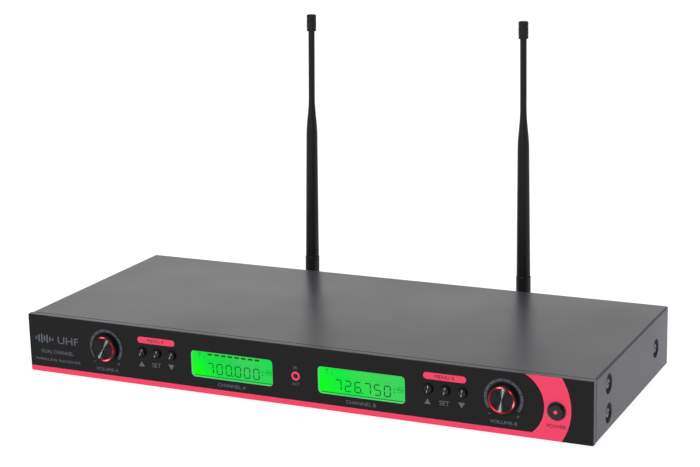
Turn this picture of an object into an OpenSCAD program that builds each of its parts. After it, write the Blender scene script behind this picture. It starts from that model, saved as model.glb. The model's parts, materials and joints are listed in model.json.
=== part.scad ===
// Wireless receiver unit, one rack unit high, two channels, two rear whip antennas.
// Millimetres, +Z up, front towards -Y, +X to the right when looking at the front.
// Origin: centre of the overall box in plan, at the underside of the rubber feet.

/* [Casing] */
// width of the casing between its two sides
body_w = 438; // [436:1:446]
// height of the casing without its feet
body_h = 44; // [43.6:0.1:46]
// depth of the casing from the face of the front to the rear wall
body_d = 182; // [178:1:220]
// thickness of the folded steel sheet
sheet = 1.2; // [1:0.1:1.4]
// depth of the front frame seen on the top and the sides
frame_d = 5.1; // [4.5:0.1:6.5]
// height of the rubber feet
foot_h = 4; // [3:0.5:6]
// height of the two front side screws apart
ear_pitch = 20.4; // [18:0.1:22]

/* [Front] */
// thickness of the moulded front overlay
overlay_t = 0.5; // [0.4:0.1:0.7]
// height of the coloured strip along the bottom of the front
strip_h = 4.1; // [3:0.1:5.5]
// height of both volume knobs above the casing bottom
knob_z = 25; // [23:0.1:27]
// diameter of a volume knob at its foot
knob_dia = 20.6; // [18:0.2:21.6]
// how far a volume knob stands out of the front
knob_out = 4.2; // [3.6:0.1:9]
// diameter of a menu button
menu_dia = 6.6; // [5:0.1:7]
// how far a menu button stands out of the front
menu_out = 2; // [1.4:0.1:3]
// travel of a menu button
menu_travel = 0.4; // [0.2:0.1:0.5]
// width of a display window
lcd_w = 65.6; // [60:0.2:66]
// height of a display window
lcd_h = 19.6; // [16:0.2:20]

/* [Rear] */
// height of the rear connectors above the casing bottom
rear_z = 22; // [20:0.5:24]
// distance from the rear wall back to the whip of an antenna
whip_back = 30; // [29:0.5:36]
// length of a whip from its hinge to its tip
whip_len = 224; // [190:1:260]
// lean of the left whip to the right, in degrees
lean_a = 1.6; // [0:0.1:4]
// lean of the right whip to the right, in degrees
lean_b = 0; // [-2:0.1:2]

/* [Hidden] */
$fn = 96;
eps = 0.01;
// middle of the front layout, a little to the right of the casing middle
mid_x = 3.3;
half_w = body_w / 2;
panel_y = overlay_t + sheet;
board_y = 14;
board_t = 1.6;
rear_in = body_d - sheet;
whip_y = body_d + whip_back;
knob_ax = mid_x - 155;
knob_bx = mid_x + 154;
menu_ax = [mid_x - 124.2, mid_x - 111.8, mid_x - 99.4];
menu_bx = [mid_x + 100.3, mid_x + 112.6, mid_x + 124.9];
menu_z = 25.3;
lcd_ax = mid_x - 50.5;
lcd_bx = mid_x + 50.4;
lcd_z = 21.6;
ir_x = mid_x + 0.4;
ir_z = 21.9;
power_x = mid_x + 190.6;
power_z = 20.9;
ant_ax = mid_x - 90.4;
ant_bx = mid_x + 93.1;
ear_y = 33.4;
ear_z = 22;
side_rear_y = 150;
side_rear_z = 21.4;
dimple_r = 7.1;
dimple_d = 2.2;
seam = 0.9;
wall_x = half_w - sheet - dimple_d;
pcb_z = 8;
collar_r = 5.7;
xlr_x = [-150, 158];
mix_x = -14;
dc_x = 36;
y_front = -knob_out;
y_back = whip_y + collar_r;
y0 = -(y_front + y_back) / 2;
posts_front = [[-185, 12], [-185, 36], [-133, 34], [-88, 37], [-4, 37], [-4, 12], [92, 37], [138, 34],
    [180, 37], [207, 12], [207, 36]];
posts_main = [[-150, 46], [-150, 146], [-20, 46], [-20, 146], [120, 46], [120, 146]];
feet_at = [[-185, 34], [185, 34], [-185, 148], [185, 148]];
side_at = [[ear_y, ear_z + ear_pitch / 2], [ear_y, ear_z - ear_pitch / 2], [side_rear_y, side_rear_z]];

steel_grey = [0.42, 0.42, 0.44];
black = [0.1, 0.1, 0.1];
soft_black = [0.16, 0.16, 0.17];
rose = [0.98, 0.28, 0.42];
bright = [0.75, 0.76, 0.78];
board_green = [0.1, 0.36, 0.2];

// ---- shared shapes ----

// moves a part from casing coordinates to the shared frame
module place() {
    translate([0, y0, foot_h])
        children();
}

// cylinder along Y from y1 to y2
module ycyl(r, y1, y2, x = 0, z = 0) {
    translate([x, y2, z])
        rotate([90, 0, 0])
            cylinder(r = r, h = y2 - y1);
}

// cone along Y, radius ra at y1 and rb at y2
module ycone(ra, rb, y1, y2, x = 0, z = 0) {
    translate([x, y2, z])
        rotate([90, 0, 0])
            cylinder(r1 = rb, r2 = ra, h = y2 - y1);
}

// flat outline in X and Z made solid between y1 and y2
module yplate(y1, y2) {
    translate([0, y2, 0])
        rotate([90, 0, 0])
            linear_extrude(y2 - y1)
                children();
}

module round_rect(w, h, r) {
    square([w - 2 * r, h], center = true);
    square([w, h - 2 * r], center = true);
    for (sx = [-1, 1])
        for (sy = [-1, 1])
            translate([sx * (w / 2 - r), sy * (h / 2 - r)])
                circle(r);
}

module box(x1, x2, y1, y2, z1, z2) {
    translate([x1, y1, z1])
        cube([x2 - x1, y2 - y1, z2 - z1]);
}

// ---- outlines on the front ----

module face_outline() {
    translate([0, body_h / 2])
        round_rect(body_w - 0.2, body_h - 0.1, 0.8);
}

module crescent_outline() {
    difference() {
        intersection() {
            translate([power_x - 30.5, 22])
                circle(40.5);
            translate([power_x - 32.6, -5])
                square([50, body_h + 10]);
        }
        translate([power_x - 32.6, 22.4])
            circle(24.2);
    }
}

module accent_outline() {
    difference() {
        union() {
            intersection() {
                face_outline();
                union() {
                    translate([-half_w, 0])
                        square([half_w + 180, strip_h]);
                    crescent_outline();
                }
            }
            for (x = [menu_ax[1] - 0.3, menu_bx[1] - 0.4])
                translate([x, 34.4])
                    round_rect(31, 4.8, 2.39);
            translate([ir_x, ir_z])
                circle(3.3);
        }
        translate([power_x, power_z])
            circle(6.45);
        translate([ir_x, ir_z])
            circle(1.8);
    }
}

module dial_outline(x) {
    translate([x, knob_z])
        difference() {
            circle(13.8);
            circle(11.9);
            polygon([[0, 0], [-22, -16.4], [-22, -30], [22, -30], [22, -16.4]]);
        }
}

module front_holes() {
    for (x = [knob_ax, knob_bx])
        translate([x, knob_z])
            circle(5);
    for (x = concat(menu_ax, menu_bx))
        translate([x, menu_z])
            circle(menu_dia / 2 + 0.35);
    for (x = [lcd_ax, lcd_bx])
        translate([x, lcd_z])
            round_rect(lcd_w, lcd_h, 3);
    translate([ir_x, ir_z])
        circle(1.8);
    translate([power_x, power_z])
        circle(6.45);
}

// ---- casing ----

// folded tray: floor, two inner side walls, rear wall and a low front flange
module chassis_tray() {
    color(steel_grey)
        place()
            difference() {
                union() {
                    box(-wall_x - 2, wall_x + 2, panel_y, body_d, 0, sheet);
                    box(-wall_x - 2, wall_x + 2, rear_in, body_d, 0, body_h - sheet - 0.2);
                    box(-wall_x + 2, wall_x - 2, panel_y, panel_y + sheet, 0, 8);
                    for (s = [-1, 1])
                        translate([s * (wall_x - sheet / 2) - sheet / 2, frame_d + 1, 0])
                            cube([sheet, rear_in - frame_d - 0.5, body_h - sheet - 0.6]);
                    for (s = [-1, 1])
                        for (p = side_at)
                            translate([s * (wall_x - sheet - 1.5), p[0], p[1]])
                                rotate([0, 90, 0])
                                    cylinder(r = 3.8, h = 3.2, center = true);
                }
                for (s = [-1, 1])
                    for (p = side_at)
                        translate([s * wall_x, p[0], p[1]])
                            rotate([0, 90, 0])
                                cylinder(r = 2.05, h = 12, center = true);
                for (x = [ant_ax, ant_bx])
                    ycyl(4.8, rear_in - 1, body_d + 1, x, rear_z);
                for (x = xlr_x)
                    ycyl(11.9, rear_in - 1, body_d + 1, x, rear_z);
                ycyl(4.6, rear_in - 1, body_d + 1, mix_x, rear_z);
                ycyl(4.1, rear_in - 1, body_d + 1, dc_x, rear_z);
            }
}

// shallow front frame: plate with returns on the top and both sides
module front_panel() {
    color(steel_grey)
        place()
            difference() {
                intersection() {
                    box(-half_w, half_w, overlay_t, frame_d, 0, body_h);
                    translate([-half_w, 0, 0])
                        rotate([90, 0, 90])
                            linear_extrude(body_w)
                                frame_section();
                    linear_extrude(body_h)
                        frame_plan();
                }
                box(-half_w + sheet, half_w - sheet, panel_y, frame_d + 1, -1, body_h - sheet);
                yplate(-1, panel_y + 1)
                    front_holes();
            }
    color(steel_grey)
        place()
            frame_tongues();
}

// stepped tongues that the cover laps over, on the top and both sides
module frame_tongues() {
    w = half_w - sheet;
    box(-w, w, panel_y - 0.1, frame_d, body_h - 2 * sheet, body_h - sheet + 0.1);
    box(-w, w, frame_d - 0.1, frame_d + 4, body_h - 2 * sheet, body_h - sheet - 0.15);
    for (s = [0, 1])
        mirror([s, 0, 0]) {
            box(w - 1, w + 0.1, panel_y - 0.1, frame_d, sheet + 0.3, body_h - sheet);
            box(w - 1, w - 0.15, frame_d - 0.1, frame_d + 4, sheet + 0.3, body_h - sheet - 0.2);
        }
}

// side section of the frame, rounded on its top front edge
module frame_section() {
    translate([overlay_t, 0])
        square([10, body_h - 0.6]);
    translate([overlay_t + 0.6, body_h - 0.6])
        circle(0.6);
    translate([overlay_t + 0.6, body_h - 2])
        square([10, 2]);
}

// plan of the frame, rounded on its two upright front edges
module frame_plan() {
    translate([-half_w + 0.8, overlay_t])
        square([body_w - 1.6, 10]);
    translate([-half_w, overlay_t + 0.8])
        square([body_w, 10]);
    for (s = [-1, 1])
        translate([s * (half_w - 0.8), overlay_t + 0.8])
            circle(0.8);
}

// folded cover: top and both sides, with three pressed screw dimples in each side
module top_cover() {
    color(steel_grey)
        place()
            difference() {
                union() {
                    translate([0, body_d, 0])
                        rotate([90, 0, 0])
                            linear_extrude(body_d - frame_d - seam)
                                cover_section();
                    for (s = [-1, 1])
                        for (p = side_at)
                            translate([s * (half_w - sheet / 2), p[0], p[1]])
                                rotate([0, -s * 90, 0])
                                    cylinder(r1 = dimple_r + 1.2, r2 = dimple_r + 0.3, h = sheet / 2 + dimple_d);
                }
                for (s = [-1, 1])
                    for (p = side_at) {
                        translate([s * (half_w + 0.4), p[0], p[1]])
                            rotate([0, -s * 90, 0])
                                cylinder(r1 = dimple_r + 0.2, r2 = dimple_r - 0.9, h = dimple_d + 0.4);
                        translate([s * half_w, p[0], p[1]])
                            rotate([0, 90, 0])
                                cylinder(r = 2.2, h = 16, center = true);
                    }
            }
}

// front view of the cover: an inverted U with small outside bends
module cover_section() {
    difference() {
        union() {
            translate([-half_w, 0.4])
                square([body_w, body_h - 0.4 - 1.6]);
            translate([-half_w + 1.6, 0.4])
                square([body_w - 3.2, body_h - 0.4]);
            for (s = [-1, 1])
                translate([s * (half_w - 1.6), body_h - 1.6])
                    circle(1.6);
        }
        translate([-half_w + sheet, -1])
            square([body_w - 2 * sheet, body_h - sheet + 1]);
    }
}

// cross-recessed machine screw along +X at the right side
module side_screw() {
    difference() {
        rotate([0, 90, 0])
            rotate_extrude()
                polygon([[0, -5.6], [1.95, -5.6], [1.95, 0], [3.6, 0], [3.6, 0.8], [3.3, 1.35],
                    [2.6, 1.7], [1.6, 1.88], [0, 1.9]]);
        translate([1.6, 0, 0])
            cube([1.6, 0.8, 4], center = true);
        translate([1.6, 0, 0])
            cube([1.6, 4, 0.8], center = true);
    }
}

module side_screws() {
    color(bright)
        place()
            for (s = [0, 1])
                mirror([s, 0, 0])
                    for (p = side_at)
                        translate([half_w - dimple_d, p[0], p[1]])
                            side_screw();
}

module fascia_overlay() {
    color(black)
        place()
            difference() {
                yplate(0, overlay_t)
                    difference() {
                        face_outline();
                        front_holes();
                    }
                yplate(-1, 0.2)
                    accent_outline();
                yplate(-1, 0.2)
                    dial_outline(knob_ax);
                yplate(-1, 0.2)
                    dial_outline(knob_bx);
            }
}

module accent_film() {
    color(rose)
        place()
            yplate(0, 0.2)
                accent_outline();
}

module dial_scales() {
    color([0.38, 0.4, 0.44])
        place()
            for (x = [knob_ax, knob_bx])
                yplate(0, 0.2)
                    dial_outline(x);
}

module feet() {
    color(soft_black)
        place()
            for (p = feet_at)
                translate([p[0], p[1], -foot_h])
                    difference() {
                        cylinder(r1 = 6.4, r2 = 7.5, h = foot_h);
                        translate([0, 0, -1])
                            cylinder(r = 3, h = 2);
                    }
}

// ---- volume knobs ----

// knob on its own axis, front at y = -knob_out
module knob_body() {
    color(soft_black)
        difference() {
            union() {
                ycone(knob_dia / 2 - 0.7, knob_dia / 2, -knob_out, -knob_out + 1.1);
                ycyl(knob_dia / 2, -knob_out + 1.1, -0.4);
                ycyl(4.5, -0.5, 4.5);
            }
            ycyl(knob_dia / 2 - 1.15, -knob_out - 1, -knob_out + 0.9);
            ycyl(3, -knob_out + 1.6, 5);
        }
}

module knob_ring() {
    color([0.9, 0.05, 0.1])
        difference() {
            ycyl(knob_dia / 2 - 1.15, -knob_out, -knob_out + 0.9);
            ycyl(knob_dia / 2 - 2, -knob_out - 1, -knob_out + 1);
        }
}

module knob_cap() {
    color([0.3, 0.3, 0.32])
        difference() {
            ycyl(knob_dia / 2 - 2, -knob_out + 0.15, -knob_out + 0.9);
            ycone(0.9, 0, -knob_out - eps, -knob_out + 0.45);
        }
}

// shaft with its wiper disc, pressed in the knob
module knob_shaft() {
    color(bright) {
        ycyl(3, -knob_out + 1.6, 11.5);
        ycyl(4.2, 9, 10);
    }
}

// potentiometer housing on the front board
module pot_housing() {
    color([0.25, 0.3, 0.42])
        difference() {
            union() {
                ycyl(4.4, 5.2, 8);
                box(-8, 8, 7.5, board_y, -8, 8);
            }
            ycyl(3.05, 5, 12);
            ycyl(4.5, 8.7, 12);
        }
}

module at_knob(x) {
    place()
        translate([x, 0, knob_z])
            children();
}

module knob_a_body() {
    at_knob(knob_ax)
        knob_body();
}

module knob_a_ring() {
    at_knob(knob_ax)
        knob_ring();
}

module knob_a_cap() {
    at_knob(knob_ax)
        knob_cap();
}

module knob_a_shaft() {
    at_knob(knob_ax)
        knob_shaft();
}

module pot_a() {
    at_knob(knob_ax)
        pot_housing();
}

module knob_b_body() {
    at_knob(knob_bx)
        knob_body();
}

module knob_b_ring() {
    at_knob(knob_bx)
        knob_ring();
}

module knob_b_cap() {
    at_knob(knob_bx)
        knob_cap();
}

module knob_b_shaft() {
    at_knob(knob_bx)
        knob_shaft();
}

module pot_b() {
    at_knob(knob_bx)
        pot_housing();
}

// ---- menu buttons ----

// button with a sunk turned face, a retaining flange and a stem that enters its switch
module menu_button(x) {
    color(soft_black)
        place()
            translate([x, 0, menu_z])
                difference() {
                    union() {
                        ycone(menu_dia / 2 - 0.35, menu_dia / 2, -menu_out, -menu_out + 0.35);
                        ycyl(menu_dia / 2, -menu_out + 0.35, panel_y + 0.6);
                        ycyl(menu_dia / 2 + 1, panel_y + 0.3, panel_y + 1.3);
                        ycyl(1.6, panel_y + 1, 11);
                    }
                    ycyl(menu_dia / 2 - 0.7, -menu_out - 1, -menu_out + 0.15);
                }
}

module menu_a_up() {
    menu_button(menu_ax[0]);
}

module menu_a_set() {
    menu_button(menu_ax[1]);
}

module menu_a_down() {
    menu_button(menu_ax[2]);
}

module menu_b_up() {
    menu_button(menu_bx[0]);
}

module menu_b_set() {
    menu_button(menu_bx[1]);
}

module menu_b_down() {
    menu_button(menu_bx[2]);
}

module tact_switches() {
    color([0.2, 0.2, 0.22])
        place()
            for (x = concat(menu_ax, menu_bx))
                translate([x, 0, menu_z])
                    difference() {
                        box(-3.1, 3.1, 9.6, board_y, -3.1, 3.1);
                        ycyl(1.95, 9, 11.3 + menu_travel);
                    }
}

// ---- displays ----

module lcd_glass(x) {
    color([0.1, 0.85, 0.2])
        place()
            box(x - 34.5, x + 34.5, panel_y, 4.3, lcd_z - 11.6, lcd_z + 11.6);
}

module lcd_backlight(x) {
    color([0.9, 0.9, 0.86])
        place() {
            box(x - 34.5, x + 34.5, 4.3, 8, lcd_z - 11.6, lcd_z + 11.6);
            for (sx = [-1, 1])
                for (sz = [-1, 1])
                    ycyl(1.5, 7.9, board_y, x + sx * 31, lcd_z + sz * 8.5);
        }
}

module lcd_a_glass() {
    lcd_glass(lcd_ax);
}

module lcd_b_glass() {
    lcd_glass(lcd_bx);
}

module lcd_a_backlight() {
    lcd_backlight(lcd_ax);
}

module lcd_b_backlight() {
    lcd_backlight(lcd_bx);
}

module ir_led() {
    color([0.05, 0.05, 0.07])
        place()
            translate([ir_x, 0, ir_z]) {
                intersection() {
                    ycyl(1.5, 0.4, 5.2);
                    translate([0, 2.4, 0])
                        sphere(3.6);
                }
                ycyl(1.5, 3, 6);
                ycyl(1.9, 5, 6);
                for (s = [-1, 1])
                    ycyl(0.3, 5.9, board_y, s * 1.27, 0);
            }
}

// ---- power button ----

module power_bezel() {
    color(black)
        place()
            translate([power_x, 0, power_z])
                difference() {
                    union() {
                        ycyl(6.3, -0.7, panel_y + 0.5);
                        ycyl(7.6, panel_y, panel_y + 1.2);
                    }
                    ycyl(5.5, -2, panel_y + 3);
                }
}

module power_cap() {
    color(soft_black)
        place()
            translate([power_x, 0, power_z])
                difference() {
                    union() {
                        ycone(4.8, 5.2, -2.4, -1.9);
                        ycyl(5.2, -1.9, 4.2);
                        ycyl(6.6, 3.2, 4.2);
                        ycyl(2.2, 4.1, 10.5);
                    }
                    ycyl(1.3, -3, -0.6);
                }
}

module power_led() {
    color([0.95, 0.1, 0.1])
        place()
            translate([power_x, 0, power_z])
                ycyl(1.3, -2.5, -0.6);
}

module power_switch() {
    color([0.85, 0.85, 0.82])
        place()
            translate([power_x, 0, power_z])
                difference() {
                    box(-5, 5, 7.4, board_y, -5.5, 5.5);
                    ycyl(2.6, 7, 13);
                }
}

// ---- boards and what stands on them ----

module front_board() {
    color(board_green)
        place()
            difference() {
                box(-192, 212, board_y, board_y + board_t, 3, 40);
                for (p = posts_front)
                    ycyl(1.5, board_y - 1, board_y + 3, p[0], p[1]);
            }
}

module main_board() {
    color(board_green)
        place()
            difference() {
                box(-156, 133, 40, 152, pcb_z, pcb_z + board_t);
                for (p = posts_main)
                    translate([p[0], p[1], 0])
                        cylinder(r = 1.7, h = 20);
            }
}

module standoffs() {
    color(bright)
        place() {
            for (p = posts_front)
                difference() {
                    ycyl(2.5, panel_y, board_y, p[0], p[1]);
                    ycyl(1.3, board_y - 6, board_y + 1, p[0], p[1]);
                }
            for (p = posts_main)
                translate([p[0], p[1], sheet])
                    difference() {
                        cylinder(r = 3, h = pcb_z - sheet);
                        translate([0, 0, 1])
                            cylinder(r = 1.55, h = 8);
                    }
        }
}

module board_screws() {
    color(bright)
        place() {
            for (p = posts_front)
                difference() {
                    union() {
                        ycyl(1.25, board_y - 5, board_y + board_t + 0.5, p[0], p[1]);
                        ycyl(2.4, board_y + board_t, board_y + board_t + 1.6, p[0], p[1]);
                    }
                    ycyl(1, board_y + board_t + 0.9, board_y + board_t + 2, p[0], p[1]);
                }
            for (p = posts_main)
                translate([p[0], p[1], pcb_z + board_t])
                    difference() {
                        union() {
                            translate([0, 0, -6])
                                cylinder(r = 1.5, h = 6.5);
                            cylinder(r = 2.9, h = 1.8);
                        }
                        translate([0, 0, 1])
                            cylinder(r = 1.2, h = 2);
                    }
        }
}

// screened radio section
module rf_can(x) {
    color([0.78, 0.78, 0.74])
        place()
            difference() {
                union() {
                    box(x - 30, x + 30, 96, 138, pcb_z + board_t, 27);
                    box(x - 30.6, x + 30.6, 95.4, 138.6, 23, 27.6);
                }
                box(x - 29.4, x + 29.4, 96.6, 137.4, pcb_z, 26.4);
                for (dx = [-20, 0, 20])
                    translate([x + dx, 108, 20])
                        cylinder(r = 2, h = 20);
                ycyl(1.4, 130, 150, x, rear_z);
            }
}

module rf_can_a() {
    rf_can(ant_ax);
}

module rf_can_b() {
    rf_can(ant_bx);
}

module coax_leads() {
    color([0.12, 0.12, 0.12])
        place()
            for (x = [ant_ax, ant_bx])
                ycyl(1.3, 136, 166.4, x, rear_z);
}

module heat_sink() {
    color([0.55, 0.56, 0.58])
        place()
            translate([8, 118, pcb_z + board_t]) {
                box(0, 44, 0, 2.4, 0, 24);
                for (i = [0:8])
                    box(i * 5.25, i * 5.25 + 2, 2.3, 15, 0, 24);
            }
}

module regulators() {
    color([0.14, 0.14, 0.14])
        place()
            for (x = [12, 34])
                translate([x, 113.4, pcb_z + board_t]) {
                    box(0, 10, 0, 4.6, 3, 12);
                    box(0, 10, 3.4, 4.6, 12, 18);
                    for (dx = [2.5, 5, 7.5])
                        box(dx - 0.4, dx + 0.4, 2, 2.6, 0, 3.2);
                }
}

module capacitors() {
    color([0.16, 0.18, 0.3])
        place()
            for (c = [[-36, 128, 5, 17], [-36, 112, 5, 17], [0, 88, 4, 11], [14, 88, 4, 11], [28, 88, 4, 11],
                [-14, 70, 3.2, 9], [-4, 70, 3.2, 9], [44, 66, 3.2, 9], [54, 66, 3.2, 9], [-124, 66, 3.2, 9]])
                translate([c[0], c[1], pcb_z + board_t])
                    difference() {
                        cylinder(r = c[2], h = c[3]);
                        translate([0, 0, c[3] - 0.4])
                            cylinder(r = c[2] - 0.8, h = 1);
                    }
}

module chips() {
    color([0.08, 0.08, 0.08])
        place()
            for (c = [[-118, 76, 14, 14], [-84, 72, 10, 6], [-62, 72, 10, 6], [64, 76, 14, 14], [92, 76, 10, 6],
                [-32, 86, 20, 8], [84, 60, 10, 6]])
                box(c[0], c[0] + c[2], c[1], c[1] + c[3], pcb_z + board_t, pcb_z + board_t + 1.7);
}

// flat cable between the two boards, with a plug at each end
module ribbon_cable() {
    color([0.72, 0.72, 0.7])
        place() {
            translate([-62, 0, 0])
                rotate([90, 0, 90])
                    linear_extrude(26)
                        ribbon_section();
            box(-64, -34, board_y + board_t, 20, 21, 27);
            box(-64, -34, 45, 51, pcb_z + board_t, 15);
        }
}

// side view of the flat cable: straight back, then a quarter bend down
module ribbon_section() {
    translate([19.9, 23.6])
        square([18.1, 0.8]);
    translate([38, 14])
        intersection() {
            difference() {
                circle(10.4);
                circle(9.6);
            }
            square([20, 20]);
        }
    translate([47.6, 13.9])
        square([0.8, 0.2]);
}

// ---- rear connectors ----

module bnc_jack(x) {
    color(bright)
        place()
            translate([x, 0, rear_z])
                difference() {
                    union() {
                        ycyl(4.75, 176, body_d + 10.4);
                        ycyl(3, 166.4, 176);
                        ycyl(6.9, body_d, body_d + 1.6);
                        yplate(rear_in - 2.4, rear_in)
                            circle(8, $fn = 6);
                        translate([0, body_d + 6, 0])
                            rotate([0, 90, 0])
                                cylinder(r = 1, h = 11, center = true);
                    }
                    ycyl(3.6, body_d + 3, body_d + 11);
                }
}

module bnc_jack_a() {
    bnc_jack(ant_ax);
}

module bnc_jack_b() {
    bnc_jack(ant_bx);
}

// panel connector with three pins in a round shell
module xlr_output(x) {
    translate([x, 0, rear_z]) {
        difference() {
            union() {
                yplate(body_d, body_d + 2)
                    round_rect(26, 31, 3);
                ycyl(11.8, 160, body_d + 0.5);
            }
            ycyl(9.6, 166, body_d + 3);
            for (s = [-1, 1])
                ycyl(1.6, body_d - 3, body_d + 3, s * 9.5, -s * 12);
        }
        for (a = [90, 210, 330])
            ycyl(1.2, 165.5, 179, 4.1 * cos(a), -4.1 * sin(a));
        for (a = [90, 210, 330])
            ycyl(0.9, 156, 160.5, 4.1 * cos(a), -4.1 * sin(a));
    }
}

module xlr_outputs() {
    color([0.22, 0.22, 0.23])
        place()
            for (x = xlr_x)
                xlr_output(x);
}

module mix_jack() {
    color([0.1, 0.1, 0.1])
        place()
            translate([mix_x, 0, rear_z])
                difference() {
                    union() {
                        box(-8, 8, 154, rear_in, -8, 8);
                        ycyl(4.5, 178, body_d + 3.6);
                        yplate(body_d, body_d + 2.4)
                            circle(7, $fn = 6);
                    }
                    ycyl(3.2, 157, body_d + 5);
                }
}

module dc_inlet() {
    color([0.1, 0.1, 0.1])
        place()
            translate([dc_x, 0, rear_z]) {
                difference() {
                    union() {
                        ycyl(4, 178, body_d + 2.4);
                        ycyl(5.4, body_d, body_d + 2.4);
                        box(-5.4, 5.4, 168, rear_in, -5.4, 5.4);
                    }
                    ycyl(2.75, 171.5, body_d + 4);
                }
                ycyl(1.05, 171, body_d + 1.4);
            }
}

// ---- antennas ----

module at_jack(x, lean) {
    place()
        translate([x, 0, rear_z])
            rotate([0, lean, 0])
                children();
}

// bayonet sleeve locked on the jack
module ant_plug() {
    color([0.7, 0.71, 0.73])
        difference() {
            union() {
                ycyl(7.2, body_d + 1.9, body_d + 13);
                ycyl(6.2, body_d + 12.9, body_d + 15.6);
            }
            ycyl(4.85, body_d + 1, body_d + 11);
            translate([0, body_d + 6, 0])
                rotate([0, 90, 0])
                    cylinder(r = 1.15, h = 11.6, center = true);
            ycyl(3.05, body_d + 10, body_d + 17);
            ycyl(3.75, body_d + 10, body_d + 13.3);
            for (a = [0:20:340])
                rotate([0, a, 0])
                    translate([7.3, body_d + 7.5, 0])
                        cube([0.7, 8.6, 0.9], center = true);
        }
}

// swivelling fork that carries the hinge
module ant_elbow() {
    color(soft_black)
        difference() {
            union() {
                ycyl(3, body_d + 11.6, body_d + 16);
                ycyl(3.6, body_d + 11.6, body_d + 12.9);
                ycyl(5.4, body_d + 15.9, whip_y - 5.6);
                for (s = [-1, 1]) {
                    translate([s * 4.1, whip_y, 0])
                        rotate([0, 90, 0])
                            cylinder(r = 4.8, h = 2.6, center = true);
                    translate([s * 4.1 - 1.3, whip_y - 7, -4.8])
                        cube([2.6, 7, 9.6]);
                }
            }
            translate([0, whip_y, 0])
                rotate([0, 90, 0])
                    cylinder(r = 1.25, h = 20, center = true);
        }
}

module ant_pin() {
    color(bright)
        translate([0, whip_y, 0])
            rotate([0, 90, 0])
                cylinder(r = 1.25, h = 10.6, center = true);
}

function ease(t) = t * t * (3 - 2 * t);

// whip on its hinge axis, standing along +Z
module ant_whip() {
    body_top = whip_len - 98;
    thin_bot = whip_len - 67;
    color(black)
        translate([0, whip_y, 0]) {
            difference() {
                union() {
                    rotate([0, 90, 0])
                        cylinder(r = 4.6, h = 5, center = true);
                    translate([-2.5, -4.6, 0])
                        cube([5, 9.2, 7.6]);
                }
                rotate([0, 90, 0])
                    cylinder(r = 1.32, h = 20, center = true);
            }
            rotate_extrude()
                polygon(concat([[0, 7.2], [collar_r - 0.5, 7.2], [collar_r, 7.8], [collar_r, 25.4],
                    [collar_r - 0.4, 26], [4.9, 26], [4.9, 26.8], [5.35, 26.8], [5.35, 28.6], [4.9, 28.6],
                    [4.9, 29.4], [5.33, 29.4], [5.33, 31.2], [4.9, 31.2], [4.9, 32], [5.3, 32]],
                    [for (i = [0:10]) [4.5 - 2 * ease(i / 10), body_top + (thin_bot - body_top) * i / 10]],
                    [[2.5, whip_len - 13.6], [3.5, whip_len - 13.2], [3.8, whip_len - 12.8],
                    [3.8, whip_len - 11.4], [3.4, whip_len - 11.4], [3.4, whip_len - 10.8],
                    [3.8, whip_len - 10.8], [3.8, whip_len - 4.2], [3.4, whip_len - 4.2],
                    [3.4, whip_len - 3.6], [3.8, whip_len - 3.6], [3.8, whip_len - 0.8],
                    [3.4, whip_len - 0.3], [2.8, whip_len], [0, whip_len]]));
        }
}

module ant_a_plug() {
    at_jack(ant_ax, 0)
        ant_plug();
}

module ant_b_plug() {
    at_jack(ant_bx, 0)
        ant_plug();
}

module ant_a_elbow() {
    at_jack(ant_ax, lean_a)
        ant_elbow();
}

module ant_b_elbow() {
    at_jack(ant_bx, lean_b)
        ant_elbow();
}

module ant_a_pin() {
    at_jack(ant_ax, lean_a)
        ant_pin();
}

module ant_b_pin() {
    at_jack(ant_bx, lean_b)
        ant_pin();
}

module ant_a_whip() {
    at_jack(ant_ax, lean_a)
        ant_whip();
}

module ant_b_whip() {
    at_jack(ant_bx, lean_b)
        ant_whip();
}

chassis_tray();
front_panel();
top_cover();
side_screws();
fascia_overlay();
accent_film();
dial_scales();
knob_a_body();
knob_a_ring();
knob_a_cap();
knob_a_shaft();
pot_a();
knob_b_body();
knob_b_ring();
knob_b_cap();
knob_b_shaft();
pot_b();
menu_a_up();
menu_a_set();
menu_a_down();
menu_b_up();
menu_b_set();
menu_b_down();
tact_switches();
front_board();
standoffs();
lcd_a_glass();
lcd_b_glass();
lcd_a_backlight();
lcd_b_backlight();
ir_led();
power_bezel();
power_cap();
power_led();
power_switch();
main_board();
board_screws();
rf_can_a();
rf_can_b();
heat_sink();
regulators();
capacitors();
chips();
ribbon_cable();
coax_leads();
bnc_jack_a();
bnc_jack_b();
ant_a_plug();
ant_b_plug();
ant_a_elbow();
ant_b_elbow();
ant_a_pin();
ant_b_pin();
ant_a_whip();
ant_b_whip();
xlr_outputs();
mix_jack();
dc_inlet();
feet();
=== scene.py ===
import json
import math

import bpy
from mathutils import Matrix, Vector


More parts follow.
